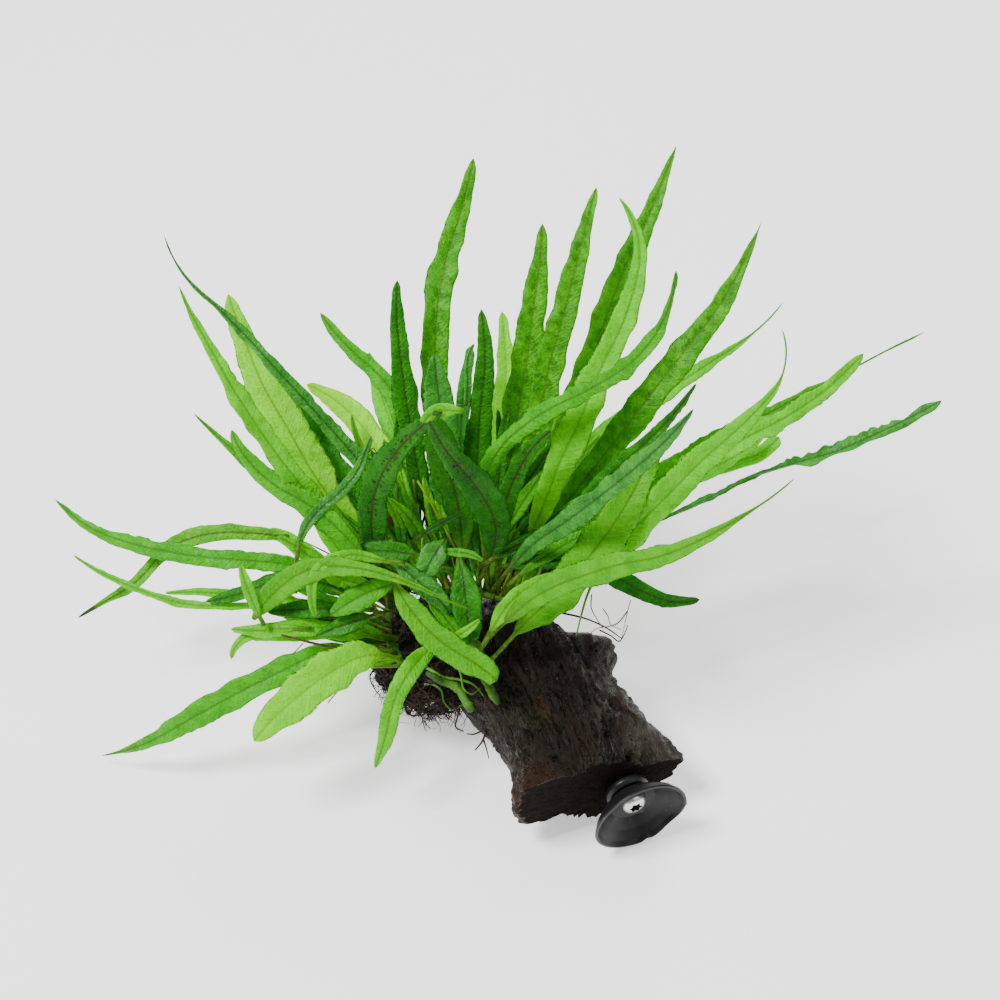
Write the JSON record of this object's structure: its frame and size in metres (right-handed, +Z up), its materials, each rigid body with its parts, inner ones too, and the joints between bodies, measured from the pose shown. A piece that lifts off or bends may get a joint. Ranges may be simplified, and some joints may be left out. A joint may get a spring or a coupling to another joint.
{
  "type": "java fern on driftwood",
  "caption": "Aquarium fern with a fan of narrow fronds rising from creeping rhizomes, rooted on a driftwood stump with a suction cup screwed to its sawn foot.",
  "frame": {"origin": "middle of the flat on the stump's underside, on the surface that the stump lies on", "axes": "+X along the fan's spread, towards the side of the sawn foot; +Z up; -Y towards the side that the sawn foot and its suction cup face"},
  "size_m": [0.3188, 0.204, 0.1878],
  "materials": {
    "wood": "satin",
    "rubber": "gloss",
    "screw_steel": "satin",
    "roots": "matte",
    "rhizome": "satin",
    "frond": "satin"
  },
  "bodies": {
    "root": {"driftwood": "wood", "suction_cup": "rubber", "screw": "screw_steel", "root_mat": "roots", "rhizome_back": "rhizome", "rhizome_middle": "rhizome", "rhizome_right": "rhizome", "rhizome_left": "rhizome", "rhizome_front": "rhizome", "rhizome_low": "rhizome", "frond_back_01": "frond", "frond_back_02": "frond", "frond_back_03": "frond", "frond_back_04": "frond", "frond_back_05": "frond", "frond_back_06": "frond", "frond_back_07": "frond", "frond_back_08": "frond", "frond_back_09": "frond", "frond_back_10": "frond", "frond_back_11": "frond", "frond_back_12": "frond", "frond_back_13": "frond", "frond_middle_01": "frond", "frond_middle_02": "frond", "frond_middle_03": "frond", "frond_middle_04": "frond", "frond_middle_05": "frond", "frond_middle_06": "frond", "frond_middle_07": "frond", "frond_middle_08": "frond", "frond_middle_09": "frond", "frond_middle_10": "frond", "frond_middle_11": "frond", "frond_middle_12": "frond", "frond_middle_13": "frond", "frond_right_01": "frond", "frond_right_02": "frond", "frond_right_03": "frond", "frond_right_04": "frond", "frond_right_05": "frond", "frond_right_06": "frond", "frond_left_01": "frond", "frond_left_02": "frond", "frond_left_03": "frond", "frond_left_04": "frond", "frond_left_05": "frond", "frond_left_06": "frond", "frond_left_07": "frond", "frond_left_08": "frond", "frond_left_09": "frond", "frond_left_10": "frond", "frond_front_01": "frond", "frond_front_02": "frond", "frond_front_03": "frond", "frond_front_04": "frond", "frond_front_05": "frond"}
  },
  "joints": []
}
